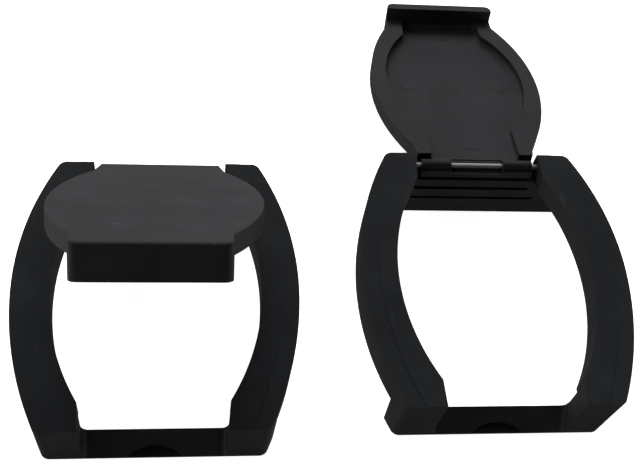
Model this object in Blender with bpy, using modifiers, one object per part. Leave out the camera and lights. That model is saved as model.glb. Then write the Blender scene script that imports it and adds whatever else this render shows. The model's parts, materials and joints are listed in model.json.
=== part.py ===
"""A pair of flip-up webcam privacy covers, lying on their backs side by side.

Each cover is a barrel-shaped frame that hooks over the front of a bar-shaped webcam, a lid of the
same outline and a steel hinge pin.  X runs across the covers, Y from the free end of the lid to
the hinge, and Z up from the table.  The left lid stands half open and the right one is folded back
until its free end rests on the table.
"""
import math

import bmesh
import bpy

MM = 0.001
OBJECT_NAME = "webcam_privacy_covers"

# Frame, in millimetres
TOP_END_Y = 17.3
LOW_END_Y = -17.35
LOW_BACK_Y = -16.7
FRAME_DEPTH = 10.0
OUTER_HALF_WIDTH = 16.3
OUTER_HALF_TOP = 11.8
OUTER_HALF_LOW = 12.45
OUTER_CORNER = 1.5
FLANK_ROUND = 1.1
END_ROUND = 0.5
BACK_ROUND = 1.2

# Opening: two arcs that meet narrower necks at the top and the bottom
OPENING_HALF_WIDTH = 11.93
NECK_HALF = 8.2
NECK_TOP_Y = 13.5
NECK_LOW_Y = -14.0
GAP_TOP_HALF = 7.85
GAP_LOW_HALF = 7.95
TOP_WALL_Y = 15.0
LOW_WALL_Y = -14.5
OPENING_CORNER = 0.8

# The back of the side posts follows the curved front of the webcam
WEBCAM_RADIUS = 47.0
WEBCAM_FRONT_Z = 7.8

# Walls between the posts
TOP_WALL_Z = 7.4
LOW_WALL_INNER_Z = 3.3
LOW_WALL_OUTER_Z = 0.6
LOW_WALL_FILLET = 0.8
NAIL_RADIUS = 4.7
NAIL_REACH_Y = -15.6
NAIL_FLOOR_Z = 0.5
GROOVES = ((5.5, 0.6, 7.6, 0.5), (3.3, 0.5, 8.8, 0.35))

# Hinge
HINGE_Y = 16.2
HINGE_Z = 8.85
PIN_RADIUS = 0.35
PIN_CLEARANCE = 0.08
PIN_HALF_LENGTH = 9.6
PIN_CHAMFER = 0.06
BORE_SPARE = 0.15

# Lid, measured from the hinge axis: along the lid, and upwards when it is closed
LID_FACE = 1.15
LID_FLOOR = 0.0
LID_RIM = -1.0
LID_END_WALL = -2.8
LID_LENGTH = 33.16
LID_HALF_WIDTH = 11.65
LID_NECK_HALF = 7.85
LID_HINGE_HALF = 7.2
LID_HINGE_END = 1.1
LID_TAB_HALF = 7.8
LID_BARREL_RADIUS = 0.78
LID_HINGE_STEP = 0.1
LID_RIM_START = 1.2
LID_END_THICKNESS = 1.3
LID_HINGE_ROUND = 0.6
PIN_WINDOW_HALF = 3.4
PIN_WINDOW_DEPTH = 0.45
PIN_WINDOW_REACH = 0.8
LID_END_ROUND = 1.0
LID_SIDE_ROUND = 0.5
LID_CORNER = 0.9
POCKET_HALF_WIDTH = 9.6
POCKET_NECK_HALF = 5.8
POCKET_ARC_START = 6.5
POCKET_ARC_END = 28.0
POCKET_FILLET = 0.5

# Placing and pose
UNIT_PITCH = 40.16
UNIT_STAGGER = 2.24
CENTRE_Y = 15.9
LEFT_LID_ANGLE = 42.45
RIGHT_LID_ANGLE = 193.69

ARC_STEPS = 20
FINE_ROUND = 0.18
LID_FINE_ROUND = 0.12


def clear_scene():
    for item in list(bpy.data.objects):
        bpy.data.objects.remove(item, do_unlink=True)


def new_collection(name):
    group = bpy.data.collections.new(name)
    bpy.context.scene.collection.children.link(group)
    return group


def plastic(name, colour, roughness):
    material = bpy.data.materials.new(name)
    material.use_nodes = True
    shader = material.node_tree.nodes["Principled BSDF"]
    shader.inputs["Base Color"].default_value = (*colour, 1.0)
    shader.inputs["Roughness"].default_value = roughness
    shader.inputs["Metallic"].default_value = 0.0
    return material


def steel(name):
    material = plastic(name, (0.35, 0.35, 0.36), 0.35)
    material.node_tree.nodes["Principled BSDF"].inputs["Metallic"].default_value = 1.0
    return material


def arc_points(x_end, x_middle, y_start, y_stop, steps=ARC_STEPS):
    """Points of the arc through (x_end, y_start) and (x_end, y_stop) that bulges to x_middle."""
    half = (y_stop - y_start) / 2.0
    bulge = x_middle - x_end
    radius = (half * half + bulge * bulge) / (2.0 * bulge)
    middle = (y_start + y_stop) / 2.0
    spread = math.asin(half / radius)
    points = []
    for step in range(steps + 1):
        angle = spread * (2.0 * step / steps - 1.0)
        points.append((x_middle - radius + radius * math.cos(angle), middle + radius * math.sin(angle)))
    return points


def flank_points(steps=ARC_STEPS):
    """The frame's right flank: a lower and an upper arc that both run straight up where they meet."""
    low = arc_points(OUTER_HALF_LOW, OUTER_HALF_WIDTH, LOW_END_Y, -LOW_END_Y, steps)
    high = arc_points(OUTER_HALF_TOP, OUTER_HALF_WIDTH, -TOP_END_Y, TOP_END_Y, steps)
    return low[:steps // 2] + high[steps // 2:]


def mirrored(right_side):
    """A closed outline from its right side, listed from the low end to the high end."""
    return right_side + [(-x, y) for x, y in reversed(right_side)]


def new_object(name, mesh, group):
    item = bpy.data.objects.new(name, mesh)
    group.objects.link(item)
    return item


def as_cutter(item):
    item.hide_render = True
    item.display_type = "WIRE"
    return item


def prism(name, outline, low, high, group):
    """A solid with a flat outline in X and Y, from one height to another, all in millimetres."""
    curve = bpy.data.curves.new(name, "CURVE")
    curve.dimensions = "2D"
    curve.fill_mode = "BOTH"
    curve.extrude = (high - low) / 2.0 * MM
    spline = curve.splines.new("POLY")
    spline.points.add(len(outline) - 1)
    for point, (x, y) in zip(spline.points, outline):
        point.co = (x * MM, y * MM, 0.0, 1.0)
    spline.use_cyclic_u = True
    source = bpy.data.objects.new(name + "_curve", curve)
    group.objects.link(source)
    source.location.z = (low + high) / 2.0 * MM
    depsgraph = bpy.context.evaluated_depsgraph_get()
    mesh = bpy.data.meshes.new_from_object(source.evaluated_get(depsgraph))
    mesh.transform(source.matrix_world)
    bpy.data.objects.remove(source, do_unlink=True)
    bpy.data.curves.remove(curve)
    mesh.name = name
    shape = bmesh.new()
    shape.from_mesh(mesh)
    bmesh.ops.remove_doubles(shape, verts=shape.verts, dist=1e-7)
    bmesh.ops.dissolve_limit(shape, angle_limit=0.001, verts=shape.verts, edges=shape.edges)
    bmesh.ops.recalc_face_normals(shape, faces=shape.faces)
    shape.to_mesh(mesh)
    shape.free()
    return new_object(name, mesh, group)


def box(name, low, high, group):
    """A block between two corners, in millimetres."""
    mesh = bpy.data.meshes.new(name)
    shape = bmesh.new()
    bmesh.ops.create_cube(shape, size=1.0)
    for vert in shape.verts:
        for axis in range(3):
            centre = (low[axis] + high[axis]) / 2.0
            vert.co[axis] = (centre + vert.co[axis] * (high[axis] - low[axis])) * MM
    shape.to_mesh(mesh)
    shape.free()
    return new_object(name, mesh, group)


def rod(name, radius, start, stop, centre, along, group, sides=24):
    """A cylinder from start to stop along X, Y or Z; centre holds the other two coordinates."""
    mesh = bpy.data.meshes.new(name)
    shape = bmesh.new()
    bmesh.ops.create_cone(shape, cap_ends=True, segments=sides, radius1=radius * MM,
                          radius2=radius * MM, depth=(stop - start) * MM)
    for vert in shape.verts:
        across, up, length = vert.co
        length += (start + stop) / 2.0 * MM
        if along == "X":
            vert.co = (length, centre[0] * MM + across, centre[1] * MM + up)
        elif along == "Y":
            vert.co = (centre[0] * MM + up, length, centre[1] * MM + across)
        else:
            vert.co = (centre[0] * MM + across, centre[1] * MM + up, length)
    shape.to_mesh(mesh)
    shape.free()
    return new_object(name, mesh, group)


def round_uprights(item, radius, least_angle, segments=4, where=None):
    """Round the upright edges of a prism whose faces meet at more than least_angle degrees."""
    shape = bmesh.new()
    shape.from_mesh(item.data)
    edges = []
    for edge in shape.edges:
        first, second = edge.verts
        upright = abs(first.co.z - second.co.z) > 0.5 * MM
        if not upright or len(edge.link_faces) != 2:
            continue
        if math.degrees(edge.calc_face_angle(0.0)) < least_angle:
            continue
        if where is None or where(first.co.x / MM, first.co.y / MM):
            edges.append(edge)
    bmesh.ops.bevel(shape, geom=edges, offset=radius * MM, segments=segments, affect="EDGES",
                    profile=0.5, clamp_overlap=True)
    shape.to_mesh(item.data)
    shape.free()


def weigh_edges(item, rule):
    """Give each level edge the bevel weight that rule returns for its midpoint and outward direction."""
    shape = bmesh.new()
    shape.from_mesh(item.data)
    layer = shape.edges.layers.float.new("bevel_weight_edge")
    for edge in shape.edges:
        first, second = edge.verts
        level = abs(first.co.z - second.co.z) < 1e-7
        sides = [face for face in edge.link_faces if abs(face.normal.z) < 0.5]
        if level and len(sides) == 1:
            middle = (first.co + second.co) / (2.0 * MM)
            edge[layer] = rule(middle, sides[0].normal)
    shape.to_mesh(item.data)
    shape.free()


def weighted_bevel(item, width, segments):
    bevel = item.modifiers.new("weighted_bevel", "BEVEL")
    bevel.limit_method = "WEIGHT"
    bevel.offset_type = "OFFSET"
    bevel.width = width * MM
    bevel.segments = segments


def fine_bevel(item, width):
    bevel = item.modifiers.new("fine_bevel", "BEVEL")
    bevel.limit_method = "ANGLE"
    bevel.angle_limit = math.radians(50.0)
    bevel.width = width * MM
    bevel.segments = 2
    bevel.use_clamp_overlap = True


def combine(item, other, operation="DIFFERENCE"):
    boolean = item.modifiers.new(operation.lower() + "_" + other.name, "BOOLEAN")
    boolean.operation = operation
    boolean.solver = "EXACT"
    boolean.object = other


def shade(item, material):
    item.data.materials.clear()
    item.data.materials.append(material)
    item.data.shade_smooth()


def opening_outline(low_y, high_y):
    right = [(GAP_LOW_HALF, low_y)]
    right += arc_points(NECK_HALF, OPENING_HALF_WIDTH, NECK_LOW_Y, NECK_TOP_Y)
    right.append((GAP_TOP_HALF + (NECK_HALF - GAP_TOP_HALF) * 0.55, high_y))
    return mirrored(right)


def lean_low_end(blank):
    """Draw the lower half's back outline in, so that the low end face leans towards the opening."""
    for vert in blank.data.vertices:
        if vert.co.z < FRAME_DEPTH / 2.0 * MM and vert.co.y < 0.0:
            vert.co.y *= LOW_BACK_Y / LOW_END_Y


def frame_blank(name, parts):
    """The frame's outer form, with its corners and outer edges rounded."""
    blank = prism(name, mirrored(flank_points()), 0.0, FRAME_DEPTH, parts)
    round_uprights(blank, OUTER_CORNER, 30.0)
    lean_low_end(blank)

    def weight(middle, outward):
        if middle.z < FRAME_DEPTH / 2.0:
            return 1.0
        return (END_ROUND + (FLANK_ROUND - END_ROUND) * outward.x ** 2) / BACK_ROUND

    weigh_edges(blank, weight)
    weighted_bevel(blank, BACK_ROUND, 5)
    return blank


def low_recess(name, cutters):
    """The space above the bottom wall, where the lid's end wall sits; its floor slopes outwards."""
    right = [(GAP_LOW_HALF, LOW_END_Y - 1.0), (NECK_HALF, NECK_LOW_Y), (NECK_HALF, LOW_WALL_Y + 1.0)]
    cutter = prism(name, mirrored(right), LOW_WALL_OUTER_Z, FRAME_DEPTH + 1.0, cutters)
    weigh_edges(cutter, lambda middle, outward: abs(outward.x) > 0.5 and middle.z < FRAME_DEPTH / 2.0)
    slope = (LOW_WALL_INNER_Z - LOW_WALL_OUTER_Z) / (LOW_WALL_Y - LOW_BACK_Y)
    for vert in cutter.data.vertices:
        if vert.co.z < FRAME_DEPTH / 2.0 * MM:
            vert.co.z += slope * (vert.co.y - LOW_BACK_Y * MM)
    weighted_bevel(cutter, LOW_WALL_FILLET, 4)
    cutter.modifiers.new("triangles", "TRIANGULATE")
    return cutter


def frame_cutters(name, cutters):
    """Everything that is taken out of the frame's blank."""
    outline = opening_outline(LOW_WALL_Y, TOP_WALL_Y)
    opening = prism(name + "_opening", outline, -1.0, FRAME_DEPTH + 1.0, cutters)
    round_uprights(opening, OPENING_CORNER, 45.0, 3)
    yield opening
    yield rod(name + "_relief", WEBCAM_RADIUS, LOW_WALL_Y, TOP_WALL_Y,
              (0.0, WEBCAM_FRONT_Z - WEBCAM_RADIUS), "Y", cutters, 160)
    top = [(NECK_HALF, TOP_WALL_Y - 1.0), (GAP_TOP_HALF, TOP_END_Y + 1.0)]
    yield prism(name + "_top_recess", mirrored(top), TOP_WALL_Z, FRAME_DEPTH + 1.0, cutters)
    yield low_recess(name + "_low_recess", cutters)
    yield rod(name + "_nail_notch", NAIL_RADIUS, NAIL_FLOOR_Z, LOW_WALL_INNER_Z + 1.0,
              (0.0, NAIL_REACH_Y - NAIL_RADIUS), "Z", cutters, 48)
    for number, (height, width, reach, depth) in enumerate(GROOVES, 1):
        yield box("%s_groove_%d" % (name, number), (-reach, TOP_WALL_Y - 1.0, height - width / 2.0),
                  (reach, TOP_WALL_Y + depth, height + width / 2.0), cutters)
    reach = PIN_HALF_LENGTH + BORE_SPARE
    yield rod(name + "_pin_bore", PIN_RADIUS + PIN_CLEARANCE, -reach, reach, (HINGE_Y, HINGE_Z), "X",
              cutters)


def make_frame(name, parts, cutters):
    frame = frame_blank(name, parts)
    for cutter in frame_cutters(name, cutters):
        combine(frame, as_cutter(cutter))
        cutter.parent = frame
    fine_bevel(frame, FINE_ROUND)
    shade(frame, plastic(name + "_plastic", (0.022, 0.023, 0.025), 0.48))
    return frame


def lid_outline():
    """The lid's plan from its free end to the hinge axis; Y is zero at the hinge axis."""
    right = [(LID_TAB_HALF, -LID_LENGTH)]
    right += arc_points(LID_NECK_HALF, LID_HALF_WIDTH, NECK_LOW_Y - HINGE_Y, NECK_TOP_Y - HINGE_Y)
    right.append((LID_HINGE_HALF, LID_HINGE_END))
    return mirrored(right)


def pocket_outline():
    """The hollow on the lid's inside, within the rim."""
    right = [(POCKET_NECK_HALF - 0.2, -LID_LENGTH + LID_END_THICKNESS)]
    right += arc_points(POCKET_NECK_HALF, POCKET_HALF_WIDTH, -POCKET_ARC_END, -POCKET_ARC_START)
    right.append((POCKET_NECK_HALF, 2.0 * LID_BARREL_RADIUS))
    return mirrored(right)


def lid_blank(name, parts):
    blank = prism(name, lid_outline(), LID_END_WALL, LID_FACE, parts)
    round_uprights(blank, LID_CORNER, 60.0, 4, lambda x, y: y < -LID_LENGTH / 2.0)

    def weight(middle, outward):
        if middle.z < 0.0:
            return 0.0
        if outward.y > 0.9:
            return LID_HINGE_ROUND / LID_END_ROUND
        free_end = outward.y < 0.0 and middle.y < -LID_LENGTH + 2.0
        share = outward.y ** 4 if free_end else 0.0
        return (LID_SIDE_ROUND + (LID_END_ROUND - LID_SIDE_ROUND) * share) / LID_END_ROUND

    weigh_edges(blank, weight)
    weighted_bevel(blank, LID_END_ROUND, 4)
    return blank


def pocket_cutter(name, cutters):
    pocket = prism(name, pocket_outline(), LID_END_WALL - 1.0, LID_FLOOR, cutters)
    round_uprights(pocket, POCKET_FILLET, 40.0, 2)
    weigh_edges(pocket, lambda middle, outward: 1.0 if middle.z > LID_FLOOR - 0.1 else 0.0)
    weighted_bevel(pocket, POCKET_FILLET, 2)
    pocket.modifiers.new("triangles", "TRIANGULATE")
    return pocket


def lid_cutters(name, cutters):
    """Everything that is taken out of the lid's blank."""
    wide = OPENING_HALF_WIDTH + 2.0
    yield box(name + "_rim_level", (-wide, -LID_LENGTH + LID_END_THICKNESS, LID_END_WALL - 1.0),
              (wide, 2.0, LID_RIM), cutters)
    yield pocket_cutter(name + "_pocket", cutters)
    yield box(name + "_hinge_level", (-wide, -LID_RIM_START, LID_END_WALL - 1.5),
              (wide, 1.5, LID_FLOOR + LID_HINGE_STEP), cutters)


def hinge_cutters(name, cutters):
    """The pin's bore along the barrel, and the window in its middle where the pin shows."""
    yield box(name + "_pin_window", (-PIN_WINDOW_HALF, -PIN_WINDOW_REACH, LID_RIM),
              (PIN_WINDOW_HALF, 2.0 * LID_HINGE_END, PIN_WINDOW_DEPTH), cutters)
    reach = LID_HINGE_HALF + 1.0
    yield rod(name + "_pin_bore", PIN_RADIUS + PIN_CLEARANCE, -reach, reach, (0.0, 0.0), "X", cutters)


def make_lid(name, parts, cutters):
    lid = lid_blank(name, parts)
    for cutter in lid_cutters(name, cutters):
        combine(lid, as_cutter(cutter))
        cutter.parent = lid
    barrel = as_cutter(rod(name + "_barrel", LID_BARREL_RADIUS, -LID_HINGE_HALF, LID_HINGE_HALF,
                           (0.0, 0.0), "X", cutters))
    combine(lid, barrel, "UNION")
    barrel.parent = lid
    for cutter in hinge_cutters(name, cutters):
        combine(lid, as_cutter(cutter))
        cutter.parent = lid
    fine_bevel(lid, LID_FINE_ROUND)
    shade(lid, plastic(name + "_plastic", (0.03, 0.03, 0.031), 0.5))
    return lid


def make_pin(name, parts):
    pin = rod(name, PIN_RADIUS, -PIN_HALF_LENGTH, PIN_HALF_LENGTH, (0.0, 0.0), "X", parts, 16)
    bevel = pin.modifiers.new("chamfer", "BEVEL")
    bevel.limit_method = "ANGLE"
    bevel.angle_limit = math.radians(60.0)
    bevel.width = PIN_CHAMFER * MM
    bevel.segments = 1
    shade(pin, steel(name + "_steel"))
    return pin


def make_cover(name, centre, lid_angle, parts, cutters):
    """One cover; centre is where the middle of its frame stands, in millimetres."""
    frame = make_frame(name + "_frame", parts, cutters)
    frame.location = (centre[0] * MM, centre[1] * MM, 0.0)
    hinge = bpy.data.objects.new(name + "_hinge", None)
    parts.objects.link(hinge)
    hinge.location = (centre[0] * MM, (centre[1] + HINGE_Y) * MM, HINGE_Z * MM)
    pin = make_pin(name + "_hinge_pin", parts)
    pin.location = hinge.location
    lid = make_lid(name + "_lid", parts, cutters)
    lid.parent = hinge
    hinge.rotation_euler.x = -math.radians(lid_angle)


def main():
    clear_scene()
    parts = new_collection(OBJECT_NAME)
    cutters = new_collection("cutters")
    half_pitch = UNIT_PITCH / 2.0
    half_stagger = UNIT_STAGGER / 2.0
    make_cover("left_cover", (-half_pitch, -half_stagger - CENTRE_Y), LEFT_LID_ANGLE, parts, cutters)
    make_cover("right_cover", (half_pitch, half_stagger - CENTRE_Y), RIGHT_LID_ANGLE, parts, cutters)
    bpy.context.view_layer.update()


main()
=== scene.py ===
import json
import math

import bmesh
import bpy
from mathutils import Euler, Matrix, Vector

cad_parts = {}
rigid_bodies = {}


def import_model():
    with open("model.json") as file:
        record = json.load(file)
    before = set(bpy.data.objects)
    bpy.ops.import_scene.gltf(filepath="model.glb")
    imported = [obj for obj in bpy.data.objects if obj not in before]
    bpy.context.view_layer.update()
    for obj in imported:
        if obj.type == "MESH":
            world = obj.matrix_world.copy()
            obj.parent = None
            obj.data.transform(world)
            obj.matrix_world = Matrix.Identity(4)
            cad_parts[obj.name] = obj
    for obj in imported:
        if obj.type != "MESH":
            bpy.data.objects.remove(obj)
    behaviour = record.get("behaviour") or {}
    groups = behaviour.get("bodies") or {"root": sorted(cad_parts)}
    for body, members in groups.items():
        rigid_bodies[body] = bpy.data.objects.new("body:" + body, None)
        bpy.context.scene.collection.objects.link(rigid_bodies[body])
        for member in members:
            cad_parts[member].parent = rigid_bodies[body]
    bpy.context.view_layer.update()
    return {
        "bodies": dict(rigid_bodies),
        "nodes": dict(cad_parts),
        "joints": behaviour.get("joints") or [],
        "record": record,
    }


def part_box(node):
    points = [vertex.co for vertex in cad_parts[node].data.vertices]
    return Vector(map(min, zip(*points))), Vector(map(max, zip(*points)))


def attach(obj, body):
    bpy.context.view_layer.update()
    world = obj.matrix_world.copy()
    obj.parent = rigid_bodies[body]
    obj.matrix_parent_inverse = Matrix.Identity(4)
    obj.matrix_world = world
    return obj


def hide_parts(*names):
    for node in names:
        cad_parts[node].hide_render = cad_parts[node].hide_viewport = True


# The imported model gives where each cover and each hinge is.  Inside a cover, lengths are in
# millimetres: X runs across it, Y towards the hinge and Z up from the table.
MM = 0.001

# Frame
TOP_END_Y = 17.3
LOW_END_Y = -17.35
LOW_BACK_Y = -16.7
DEPTH = 10.0
OUTER_HALF_WIDTH = 16.3
OUTER_HALF_TOP = 11.8
OUTER_HALF_LOW = 12.45
OUTER_CORNER = 1.5
FLANK_ROUND = 1.1
END_ROUND = 0.5
BACK_ROUND = 1.2
OPENING_HALF_WIDTH = 11.93
NECK_HALF = 8.2
NECK_TOP_Y = 13.5
NECK_LOW_Y = -14.0
GAP_TOP_HALF = 7.85
GAP_LOW_HALF = 7.95
GAP_TOP_TAPER = 0.55
TOP_WALL_Y = 15.0
LOW_WALL_Y = -14.5
OPENING_CORNER = 0.8
WEBCAM_RADIUS = 47.0
WEBCAM_FRONT_Z = 7.8
TOP_WALL_Z = 7.3
LOW_WALL_INNER_Z = 3.3
LOW_WALL_OUTER_Z = 0.6
LOW_WALL_FILLET = 0.8
NAIL_RADIUS = 4.7
NAIL_REACH_Y = -15.6
NAIL_FLOOR_Z = 0.5
# Each groove inside the top wall: height of its middle, width, half length and depth
GROOVES = ((5.5, 0.6, 7.6, 0.5), (3.3, 0.5, 8.8, 0.35))
PIN_RADIUS = 0.35
PIN_CLEARANCE = 0.08
PIN_HALF_LENGTH = 9.6
BORE_SPARE = 0.15

# Lid, measured from the hinge axis: along the lid, and upwards when it is closed
LID_FACE = 1.15
LID_FLOOR = 0.0
LID_RIM = -1.0
LID_END_WALL = -2.8
LID_LENGTH = 33.16
LID_HALF_WIDTH = 11.65
LID_NECK_HALF = 7.85
LID_HINGE_HALF = 7.2
LID_HINGE_END = 1.1
LID_TAB_HALF = 7.8
LID_BARREL_RADIUS = 0.78
LID_HINGE_STEP = 0.1
LID_RIM_START = 1.2
LID_END_THICKNESS = 1.3
LID_HINGE_ROUND = 0.6
PIN_WINDOW_HALF = 3.4
PIN_WINDOW_DEPTH = 0.45
PIN_WINDOW_REACH = 0.8
LID_END_ROUND = 1.4
LID_SIDE_ROUND = 0.5
LID_CORNER = 0.9
POCKET_HALF_WIDTH = 9.6
POCKET_NECK_HALF = 5.8
POCKET_END_INSET = 0.2
POCKET_ARC_START = 6.5
POCKET_ARC_END = 28.0
POCKET_FILLET = 0.5

# Moulding marks: a shallow step along the posts' outer edges, and low ejector discs on the lid's inside
STEP_WIDTH = 2.1
STEP_DEPTH = 0.07
EJECTOR_RADIUS = 1.6
EJECTOR_HEIGHT = 0.03
EJECTOR_SPOTS = ((-6.4, -17.5), (6.4, -17.5), (0.3, -4.8), (0.3, -29.6))

# How finely the outlines, the rounded edges and the round cutters are divided
ARC_STEPS = 56
STEP_ARC_STEPS = 50
ROUND_STEPS = 6
ROD_SIDES = 64
NAIL_SIDES = 160
WEBCAM_SIDES = 400
SMOOTH_BELOW_DEGREES = 38.0

# How far the cutters reach past the surfaces they cut
SPARE = 1.0
HINGE_SPARE = 1.5
LID_SPARE = 2.0

# Colours and surfaces
FRAME_DARK = (0.0085, 0.0093, 0.0105)
FRAME_LIGHT = (0.0135, 0.0147, 0.0162)
FRAME_ROUGHNESS = 0.46
LID_DARK = (0.0115, 0.012, 0.013)
LID_LIGHT = (0.018, 0.0187, 0.02)
LID_ROUGHNESS = 0.5
PLASTIC_SPECULAR = 0.2
STEEL_DARK = (0.86, 0.85, 0.8)
STEEL_LIGHT = (0.97, 0.96, 0.91)

# Light: each world glow is (from, to, strength at from, strength at to), the lamps are in metres and watts
FLOOR_SIZE = 1.5
FLOOR_GLOW = 0.95
FLOOR_DROP = 0.0001
WALL_DIRECTION = (0.0, 0.9, 0.436)
WALL_GLOW = (0.2, 1.0, 0.03, 0.45)
SIDE_GLOW = (0.45, 0.9, 0.0, 0.7)
LOW_GLOW = (-0.2, 0.3, 1.0, 0.0)
SOFTBOXES = (
    ("back_softbox", (-0.05, 0.55, 0.3), (0.6, 0.25), 7.8),
    ("left_softbox", (-0.5, -0.05, 0.3), (0.3, 0.3), 1.0),
)

# Camera: lengths in millimetres, angles in degrees
CAMERA_TARGET = (0.57, -2.97, 0.0)
CAMERA_DISTANCE = 140.03
CAMERA_AZIMUTH = -13.34
CAMERA_ELEVATION = 57.35
CAMERA_ROLL = 11.83
CAMERA_LENS = 60.02
CAMERA_SENSOR = 36.0
CAMERA_SHIFT_Y = -0.005


def arc_points(x_end, x_middle, y_start, y_stop, steps=ARC_STEPS):
    """Points of the arc through (x_end, y_start) and (x_end, y_stop) that bulges to x_middle."""
    half = (y_stop - y_start) / 2.0
    bulge = x_middle - x_end
    radius = (half * half + bulge * bulge) / (2.0 * bulge)
    middle = (y_start + y_stop) / 2.0
    spread = math.asin(half / radius)
    points = []
    for step in range(steps + 1):
        angle = spread * (2.0 * step / steps - 1.0)
        points.append((x_middle - radius + radius * math.cos(angle), middle + radius * math.sin(angle)))
    return points


def flank_points(steps=ARC_STEPS):
    """The frame's right flank: a lower and an upper arc that both run straight up where they meet."""
    low = arc_points(OUTER_HALF_LOW, OUTER_HALF_WIDTH, LOW_END_Y, -LOW_END_Y, steps)
    high = arc_points(OUTER_HALF_TOP, OUTER_HALF_WIDTH, -TOP_END_Y, TOP_END_Y, steps)
    return low[:steps // 2] + high[steps // 2:]


def mirrored(right_side):
    """A closed outline from its right side, listed from the low end to the high end."""
    return right_side + [(-x, y) for x, y in reversed(right_side)]


def add_object(name, mesh):
    item = bpy.data.objects.new(name, mesh)
    bpy.context.scene.collection.objects.link(item)
    return item


def prism(name, outline, low, high):
    """A solid with a flat outline in X and Y between two heights."""
    mesh = bpy.data.meshes.new(name)
    shape = bmesh.new()
    verts = [shape.verts.new((x * MM, y * MM, low * MM)) for x, y in outline]
    face = shape.faces.new(verts)
    raised = bmesh.ops.extrude_face_region(shape, geom=[face])["geom"]
    for item in raised:
        if isinstance(item, bmesh.types.BMVert):
            item.co.z = high * MM
    bmesh.ops.recalc_face_normals(shape, faces=shape.faces)
    shape.to_mesh(mesh)
    shape.free()
    return add_object(name, mesh)


def block(name, low, high):
    outline = [(low[0], low[1]), (high[0], low[1]), (high[0], high[1]), (low[0], high[1])]
    return prism(name, outline, low[2], high[2])


def rod(name, radius, start, stop, centre, along, sides=ROD_SIDES):
    """A cylinder from start to stop along X, Y or Z; centre holds the other two coordinates."""
    mesh = bpy.data.meshes.new(name)
    shape = bmesh.new()
    bmesh.ops.create_cone(shape, cap_ends=True, segments=sides, radius1=radius * MM,
                          radius2=radius * MM, depth=(stop - start) * MM)
    for vert in shape.verts:
        across, up, length = vert.co
        length += (start + stop) / 2.0 * MM
        if along == "X":
            vert.co = (length, centre[0] * MM + across, centre[1] * MM + up)
        elif along == "Y":
            vert.co = (centre[0] * MM + up, length, centre[1] * MM + across)
        else:
            vert.co = (centre[0] * MM + across, centre[1] * MM + up, length)
    shape.to_mesh(mesh)
    shape.free()
    return add_object(name, mesh)


def round_uprights(item, radius, least_angle, segments=ROUND_STEPS, where=None):
    """Round the upright edges of a prism whose faces meet at more than least_angle degrees."""
    shape = bmesh.new()
    shape.from_mesh(item.data)
    edges = []
    for edge in shape.edges:
        first, second = edge.verts
        if abs(first.co.z - second.co.z) < 0.5 * MM:
            continue
        if math.degrees(edge.calc_face_angle(0.0)) < least_angle:
            continue
        if where is None or where(first.co.x / MM, first.co.y / MM):
            edges.append(edge)
    bmesh.ops.bevel(shape, geom=edges, offset=radius * MM, segments=segments, affect="EDGES",
                    profile=0.5, clamp_overlap=True)
    shape.to_mesh(item.data)
    shape.free()


def weigh_edges(item, rule):
    """Give each level edge the bevel weight that rule returns for its midpoint and outward direction."""
    shape = bmesh.new()
    shape.from_mesh(item.data)
    layer = shape.edges.layers.float.new("bevel_weight_edge")
    for edge in shape.edges:
        first, second = edge.verts
        level = abs(first.co.z - second.co.z) < 1e-7
        sides = [face for face in edge.link_faces if abs(face.normal.z) < 0.5]
        if level and len(sides) == 1:
            middle = (first.co + second.co) / (2.0 * MM)
            edge[layer] = rule(middle, sides[0].normal)
    shape.to_mesh(item.data)
    shape.free()


def weighted_bevel(item, width, segments=ROUND_STEPS):
    bevel = item.modifiers.new("weighted_bevel", "BEVEL")
    bevel.limit_method = "WEIGHT"
    bevel.width = width * MM
    bevel.segments = segments


def combine(item, other, operation="DIFFERENCE"):
    boolean = item.modifiers.new(operation.lower() + "_" + other.name, "BOOLEAN")
    boolean.operation = operation
    boolean.solver = "EXACT"
    boolean.object = other


def finished(item, cutters):
    """The item with its modifiers applied and its cutters removed."""
    depsgraph = bpy.context.evaluated_depsgraph_get()
    mesh = bpy.data.meshes.new_from_object(item.evaluated_get(depsgraph))
    item.modifiers.clear()
    item.data = mesh
    mesh.name = item.name
    for cutter in cutters:
        bpy.data.objects.remove(cutter, do_unlink=True)
    mesh.shade_smooth()
    mesh.set_sharp_from_angle(angle=math.radians(SMOOTH_BELOW_DEGREES))
    normals = item.modifiers.new("flat_faces_stay_flat", "WEIGHTED_NORMAL")
    normals.keep_sharp = True
    return item


# Frame ---------------------------------------------------------------------------------------------

def lean_low_end(blank):
    """Draw the lower half's back outline in, so that the low end face leans towards the opening."""
    for vert in blank.data.vertices:
        if vert.co.z < DEPTH / 2.0 * MM and vert.co.y < 0.0:
            vert.co.y *= LOW_BACK_Y / LOW_END_Y


def frame_blank(name):
    """The frame's outside: rounded most along the back, less along the front's flanks and ends."""
    blank = prism(name, mirrored(flank_points()), 0.0, DEPTH)
    round_uprights(blank, OUTER_CORNER, 30.0)
    lean_low_end(blank)

    def weight(middle, outward):
        if middle.z < DEPTH / 2.0:
            return 1.0
        return (END_ROUND + (FLANK_ROUND - END_ROUND) * outward.x ** 2) / BACK_ROUND

    weigh_edges(blank, weight)
    weighted_bevel(blank, BACK_ROUND)
    return blank


def opening_cutter(name):
    """The open middle that the webcam looks through."""
    right = [(GAP_LOW_HALF, LOW_WALL_Y)]
    right += arc_points(NECK_HALF, OPENING_HALF_WIDTH, NECK_LOW_Y, NECK_TOP_Y)
    right.append((GAP_TOP_HALF + (NECK_HALF - GAP_TOP_HALF) * GAP_TOP_TAPER, TOP_WALL_Y))
    opening = prism(name, mirrored(right), -SPARE, DEPTH + SPARE)
    round_uprights(opening, OPENING_CORNER, 45.0)
    return opening


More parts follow.
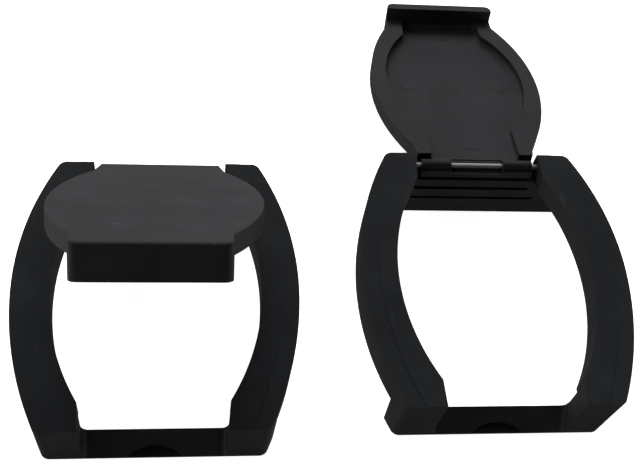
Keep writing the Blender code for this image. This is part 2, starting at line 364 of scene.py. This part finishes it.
def low_recess(name):
    """The space above the bottom wall, where the lid's end wall sits; its floor slopes outwards."""
    right = [(GAP_LOW_HALF, LOW_END_Y - SPARE), (NECK_HALF, NECK_LOW_Y), (NECK_HALF, LOW_WALL_Y + SPARE)]
    recess = prism(name, mirrored(right), LOW_WALL_OUTER_Z, DEPTH + SPARE)
    weigh_edges(recess, lambda middle, outward: abs(outward.x) > 0.5 and middle.z < DEPTH / 2.0)
    slope = (LOW_WALL_INNER_Z - LOW_WALL_OUTER_Z) / (LOW_WALL_Y - LOW_BACK_Y)
    for vert in recess.data.vertices:
        if vert.co.z < DEPTH / 2.0 * MM:
            vert.co.z += slope * (vert.co.y - LOW_BACK_Y * MM)
    weighted_bevel(recess, LOW_WALL_FILLET)
    recess.modifiers.new("triangles", "TRIANGULATE")
    return recess


def edge_step(name, side):
    """The strip along one flank that stands a little lower than the rest of the post's front."""
    inner = [(side * (x - STEP_WIDTH), y) for x, y in flank_points(STEP_ARC_STEPS)]
    beyond = side * (OUTER_HALF_WIDTH + SPARE)
    low = LOW_END_Y - SPARE
    high = TOP_END_Y + SPARE
    outline = [(inner[0][0], low)] + inner + [(inner[-1][0], high), (beyond, high), (beyond, low)]
    return prism(name, outline, DEPTH - STEP_DEPTH, DEPTH + SPARE)


def make_frame(name, centre, hinge_y, hinge_z):
    """A cover's frame; hinge_y and hinge_z place the pin's bore."""
    frame = frame_blank(name)
    top = [(NECK_HALF, TOP_WALL_Y - SPARE), (GAP_TOP_HALF, TOP_END_Y + SPARE)]
    reach = PIN_HALF_LENGTH + BORE_SPARE
    cutters = [
        edge_step("left_step", -1.0),
        edge_step("right_step", 1.0),
        opening_cutter("opening"),
        rod("webcam_relief", WEBCAM_RADIUS, LOW_WALL_Y, TOP_WALL_Y, (0.0, WEBCAM_FRONT_Z - WEBCAM_RADIUS),
            "Y", WEBCAM_SIDES),
        prism("top_recess", mirrored(top), TOP_WALL_Z, DEPTH + SPARE),
        low_recess("low_recess"),
        rod("nail_notch", NAIL_RADIUS, NAIL_FLOOR_Z, LOW_WALL_INNER_Z + SPARE,
            (0.0, NAIL_REACH_Y - NAIL_RADIUS), "Z", NAIL_SIDES),
        rod("pin_bore", PIN_RADIUS + PIN_CLEARANCE, -reach, reach, (hinge_y, hinge_z), "X"),
    ]
    for height, width, half_length, depth in GROOVES:
        cutters.append(block("groove", (-half_length, TOP_WALL_Y - SPARE, height - width / 2.0),
                             (half_length, TOP_WALL_Y + depth, height + width / 2.0)))
    for cutter in cutters:
        combine(frame, cutter)
    finished(frame, cutters)
    frame.data.transform(Matrix.Translation(centre))
    return frame


# Lid -----------------------------------------------------------------------------------------------

def lid_blank(name, hinge_y):
    """The lid's outside as a closed lid around its hinge axis: rounded most along its free end."""
    right = [(LID_TAB_HALF, -LID_LENGTH)]
    right += arc_points(LID_NECK_HALF, LID_HALF_WIDTH, NECK_LOW_Y - hinge_y, NECK_TOP_Y - hinge_y)
    right.append((LID_HINGE_HALF, LID_HINGE_END))
    blank = prism(name, mirrored(right), LID_END_WALL, LID_FACE)
    round_uprights(blank, LID_CORNER, 60.0, where=lambda x, y: y < -LID_LENGTH / 2.0)

    def weight(middle, outward):
        if middle.z < 0.0:
            return 0.0
        if outward.y > 0.9:
            return LID_HINGE_ROUND / LID_END_ROUND
        free_end = outward.y < 0.0 and middle.y < -LID_LENGTH + 2.0
        share = outward.y ** 4 if free_end else 0.0
        return (LID_SIDE_ROUND + (LID_END_ROUND - LID_SIDE_ROUND) * share) / LID_END_ROUND

    weigh_edges(blank, weight)
    weighted_bevel(blank, LID_END_ROUND)
    return blank


def pocket_cutter(name):
    """The hollow inside the lid, within its rim."""
    right = [(POCKET_NECK_HALF - POCKET_END_INSET, -LID_LENGTH + LID_END_THICKNESS)]
    right += arc_points(POCKET_NECK_HALF, POCKET_HALF_WIDTH, -POCKET_ARC_END, -POCKET_ARC_START)
    right.append((POCKET_NECK_HALF, 2.0 * LID_BARREL_RADIUS))
    pocket = prism(name, mirrored(right), LID_END_WALL - SPARE, LID_FLOOR)
    round_uprights(pocket, POCKET_FILLET, 40.0, 3)
    weigh_edges(pocket, lambda middle, outward: 1.0 if middle.z > LID_FLOOR - 0.1 else 0.0)
    weighted_bevel(pocket, POCKET_FILLET, 4)
    pocket.modifiers.new("triangles", "TRIANGULATE")
    return pocket


def make_lid(name, hinge, hinge_y, angle):
    """A cover's lid, opened by angle degrees around hinge, which lies at hinge_y inside the cover."""
    lid = lid_blank(name, hinge_y)
    wide = LID_HALF_WIDTH + LID_SPARE
    cutters = [
        block("rim_level", (-wide, -LID_LENGTH + LID_END_THICKNESS, LID_END_WALL - SPARE),
              (wide, LID_SPARE, LID_RIM)),
        pocket_cutter("pocket"),
        block("hinge_level", (-wide, -LID_RIM_START, LID_END_WALL - HINGE_SPARE),
              (wide, HINGE_SPARE, LID_FLOOR + LID_HINGE_STEP)),
    ]
    for cutter in cutters:
        combine(lid, cutter)
    barrel = rod("barrel", LID_BARREL_RADIUS, -LID_HINGE_HALF, LID_HINGE_HALF, (0.0, 0.0), "X")
    combine(lid, barrel, "UNION")
    reach = LID_HINGE_HALF + SPARE
    openings = [
        block("pin_window", (-PIN_WINDOW_HALF, -PIN_WINDOW_REACH, LID_RIM),
              (PIN_WINDOW_HALF, 2.0 * LID_HINGE_END, PIN_WINDOW_DEPTH)),
        rod("pin_bore", PIN_RADIUS + PIN_CLEARANCE, -reach, reach, (0.0, 0.0), "X"),
    ]
    for cutter in openings:
        combine(lid, cutter)
    discs = []
    for spot in EJECTOR_SPOTS:
        disc = rod("ejector", EJECTOR_RADIUS, LID_FLOOR - EJECTOR_HEIGHT, LID_FACE / 2.0, spot, "Z")
        combine(lid, disc, "UNION")
        discs.append(disc)
    finished(lid, cutters + [barrel] + openings + discs)
    turn = Matrix.Rotation(-math.radians(angle), 4, "X")
    lid.data.transform(Matrix.Translation(hinge) @ turn)
    return lid


# Materials -----------------------------------------------------------------------------------------

class Nodes:
    """A short way to add and join the nodes of a material or of the world."""

    def __init__(self, owner):
        owner.use_nodes = True
        self.tree = owner.node_tree

    def add(self, kind, **values):
        node = self.tree.nodes.new(kind)
        for key, value in values.items():
            if hasattr(node, key):
                setattr(node, key, value)
            else:
                node.inputs[key.replace("_", " ")].default_value = value
        return node

    def join(self, source, target):
        self.tree.links.new(source, target)

    def noise(self, place, scale, detail=2.0, roughness=0.5):
        node = self.add("ShaderNodeTexNoise", Scale=scale, Detail=detail, Roughness=roughness)
        self.join(place, node.inputs["Vector"])
        return node.outputs[0]

    def spread(self, value, low, high, out_low, out_high):
        """value, mapped from low..high to out_low..out_high and held inside them."""
        node = self.add("ShaderNodeMapRange", clamp=True)
        for number, level in enumerate((low, high, out_low, out_high), 1):
            node.inputs[number].default_value = level
        self.join(value, node.inputs[0])
        return node.outputs[0]

    def math(self, operation, *values):
        node = self.add("ShaderNodeMath", operation=operation)
        for value, socket in zip(values, node.inputs):
            if isinstance(value, (int, float)):
                socket.default_value = value
            else:
                self.join(value, socket)
        return node.outputs[0]

    def mix(self, share, first, second):
        node = self.add("ShaderNodeMix", data_type="RGBA")
        self.join(share, node.inputs[0])
        for socket, value in zip((node.inputs[6], node.inputs[7]), (first, second)):
            if isinstance(value, tuple):
                socket.default_value = (*value, 1.0)
            else:
                self.join(value, socket)
        return node.outputs[2]

    def bump(self, height, distance, strength, under=None):
        node = self.add("ShaderNodeBump", Strength=strength, Distance=distance)
        self.join(height, node.inputs["Height"])
        if under is not None:
            self.join(under, node.inputs["Normal"])
        return node.outputs["Normal"]


def new_material(name):
    """A material, its nodes and its shader's inputs."""
    material = bpy.data.materials.new(name)
    nodes = Nodes(material)
    return material, nodes, nodes.tree.nodes["Principled BSDF"].inputs


def moulded_plastic(name, dark, light, roughness):
    """Charcoal moulded plastic: a fine spark-eroded grain, faint flow clouds, dust and short scuffs."""
    material, nodes, shader = new_material(name)
    place = nodes.add("ShaderNodeTexCoord").outputs["Object"]
    grain = nodes.noise(place, 9000.0, 3.0, 0.6)
    clouds = nodes.noise(place, 160.0, 4.0, 0.55)
    specks = nodes.noise(place, 2600.0, 2.0, 0.5)

    stretch = nodes.add("ShaderNodeMapping")
    stretch.inputs["Rotation"].default_value = (0.0, 0.0, 0.6)
    stretch.inputs["Scale"].default_value = (1.0, 0.06, 1.0)
    nodes.join(place, stretch.inputs["Vector"])
    scuffs = nodes.spread(nodes.noise(stretch.outputs[0], 1500.0, 2.0, 0.5), 0.66, 0.74, 0.0, 1.0)
    worn = nodes.spread(nodes.noise(place, 220.0, 2.0, 0.5), 0.5, 0.66, 0.0, 1.0)
    scuffs = nodes.math("MULTIPLY", scuffs, worn)

    base = nodes.mix(nodes.spread(clouds, 0.3, 0.7, 0.0, 1.0), dark, light)
    dusty = tuple(min(1.0, channel * 2.2 + 0.01) for channel in light)
    base = nodes.mix(nodes.spread(specks, 0.68, 0.76, 0.0, 0.5), base, dusty)
    base = nodes.mix(nodes.math("MULTIPLY", scuffs, 0.4), base, dusty)
    nodes.join(base, shader["Base Color"])

    rough = nodes.spread(clouds, 0.3, 0.7, roughness - 0.05, roughness + 0.05)
    rough = nodes.math("ADD", rough, nodes.spread(grain, 0.3, 0.7, -0.04, 0.04))
    nodes.join(rough, shader["Roughness"])
    shader["Specular IOR Level"].default_value = PLASTIC_SPECULAR

    normal = nodes.bump(clouds, 0.0001, 0.12)
    normal = nodes.bump(grain, 0.00003, 0.35, normal)
    nodes.join(normal, shader["Normal"])
    return material


def drawn_steel(name):
    """Bright drawn wire with fine lines along it."""
    material, nodes, shader = new_material(name)
    place = nodes.add("ShaderNodeTexCoord").outputs["Object"]
    stretch = nodes.add("ShaderNodeMapping")
    stretch.inputs["Scale"].default_value = (0.05, 1.0, 1.0)
    nodes.join(place, stretch.inputs["Vector"])
    lines = nodes.noise(stretch.outputs[0], 12000.0, 2.0, 0.5)
    nodes.join(nodes.mix(lines, STEEL_DARK, STEEL_LIGHT), shader["Base Color"])
    nodes.join(nodes.spread(lines, 0.3, 0.7, 0.34, 0.5), shader["Roughness"])
    nodes.join(nodes.bump(lines, 0.00001, 0.2), shader["Normal"])
    shader["Metallic"].default_value = 1.0
    return material


def paint(item, material):
    item.data.materials.clear()
    item.data.materials.append(material)


# Room ----------------------------------------------------------------------------------------------

def add_floor():
    """A bright table that doesn't mirror itself in the plastic."""
    mesh = bpy.data.meshes.new("studio_floor")
    shape = bmesh.new()
    bmesh.ops.create_grid(shape, x_segments=1, y_segments=1, size=FLOOR_SIZE)
    shape.to_mesh(mesh)
    shape.free()
    floor = add_object("studio_floor", mesh)
    floor.location.z = -FLOOR_DROP
    material, _, shader = new_material("pale_light_table")
    shader["Base Color"].default_value = (0.9, 0.9, 0.9, 1.0)
    shader["Roughness"].default_value = 0.8
    shader["Emission Color"].default_value = (1.0, 1.0, 1.0, 1.0)
    shader["Emission Strength"].default_value = FLOOR_GLOW
    mesh.materials.append(material)
    floor.visible_glossy = False


def add_softbox(name, place, size, watts):
    """A rectangular lamp aimed at the middle, which lights the covers without its own glare on them."""
    light = bpy.data.lights.new(name, "AREA")
    light.shape = "RECTANGLE"
    light.size = size[0]
    light.size_y = size[1]
    light.energy = watts
    box = bpy.data.objects.new(name, light)
    bpy.context.scene.collection.objects.link(box)
    box.location = place
    box.rotation_euler = (-Vector(place)).to_track_quat("-Z", "Y").to_euler()
    box.visible_glossy = False


def add_lights():
    """A dark room with a bright wall behind the covers and pale low sides, and two soft lamps."""
    world = bpy.data.worlds.new("studio_air")
    nodes = Nodes(world)
    place = nodes.add("ShaderNodeTexCoord").outputs["Generated"]
    facing = nodes.add("ShaderNodeVectorMath", operation="DOT_PRODUCT")
    facing.inputs[1].default_value = WALL_DIRECTION
    nodes.join(place, facing.inputs[0])
    wall = nodes.spread(facing.outputs["Value"], *WALL_GLOW)
    axes = nodes.add("ShaderNodeSeparateXYZ")
    nodes.join(place, axes.inputs[0])
    sideways = nodes.spread(nodes.math("ABSOLUTE", axes.outputs["X"]), *SIDE_GLOW)
    low = nodes.spread(axes.outputs["Z"], *LOW_GLOW)
    sides = nodes.math("MULTIPLY", sideways, low)
    background = nodes.tree.nodes["Background"].inputs
    nodes.join(nodes.math("ADD", wall, sides), background["Strength"])
    background["Color"].default_value = (1.0, 1.0, 1.0, 1.0)
    bpy.context.scene.world = world
    for softbox in SOFTBOXES:
        add_softbox(*softbox)


def add_camera():
    data = bpy.data.cameras.new("camera")
    data.lens = CAMERA_LENS
    data.sensor_width = CAMERA_SENSOR
    data.shift_y = CAMERA_SHIFT_Y
    data.clip_start = 0.01
    camera = bpy.data.objects.new("camera", data)
    bpy.context.scene.collection.objects.link(camera)
    tilt = math.radians(90.0 - CAMERA_ELEVATION)
    turn = Euler((tilt, 0.0, math.radians(CAMERA_AZIMUTH)), "XYZ").to_matrix()
    turn = turn @ Matrix.Rotation(math.radians(CAMERA_ROLL), 3, "Z")
    target = Vector([length * MM for length in CAMERA_TARGET])
    place = target + turn @ Vector((0.0, 0.0, CAMERA_DISTANCE * MM))
    camera.matrix_world = Matrix.Translation(place) @ turn.to_4x4()
    bpy.context.scene.camera = camera


def main():
    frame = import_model()
    bpy.context.scene.view_settings.view_transform = "Standard"
    add_camera()

    steel = drawn_steel("hinge_pin_steel")
    frame_plastic = moulded_plastic("frame_plastic", FRAME_DARK, FRAME_LIGHT, FRAME_ROUGHNESS)
    lid_plastic = moulded_plastic("lid_plastic", LID_DARK, LID_LIGHT, LID_ROUGHNESS)
    hinges = {joint["child"]: joint for joint in frame["joints"]}
    for side in ("left", "right"):
        low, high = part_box(side + "_cover_frame")
        centre = Vector(((low[0] + high[0]) / 2.0, high[1] - TOP_END_Y * MM, low[2]))
        joint = hinges[side + "_lid"]
        hinge = Vector(joint["pos_m"])
        hinge_y = (hinge.y - centre.y) / MM
        hinge_z = (hinge.z - centre.z) / MM

        body = make_frame(side + "_frame_shell", centre, hinge_y, hinge_z)
        paint(body, frame_plastic)
        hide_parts(side + "_cover_frame")
        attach(body, joint["parent"])

        lid = make_lid(side + "_lid_shell", hinge, hinge_y, -joint["range_deg"][0])
        paint(lid, lid_plastic)
        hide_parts(side + "_cover_lid")
        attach(lid, joint["child"])

        paint(frame["nodes"][side + "_cover_hinge_pin"], steel)

    add_floor()
    add_lights()


main()
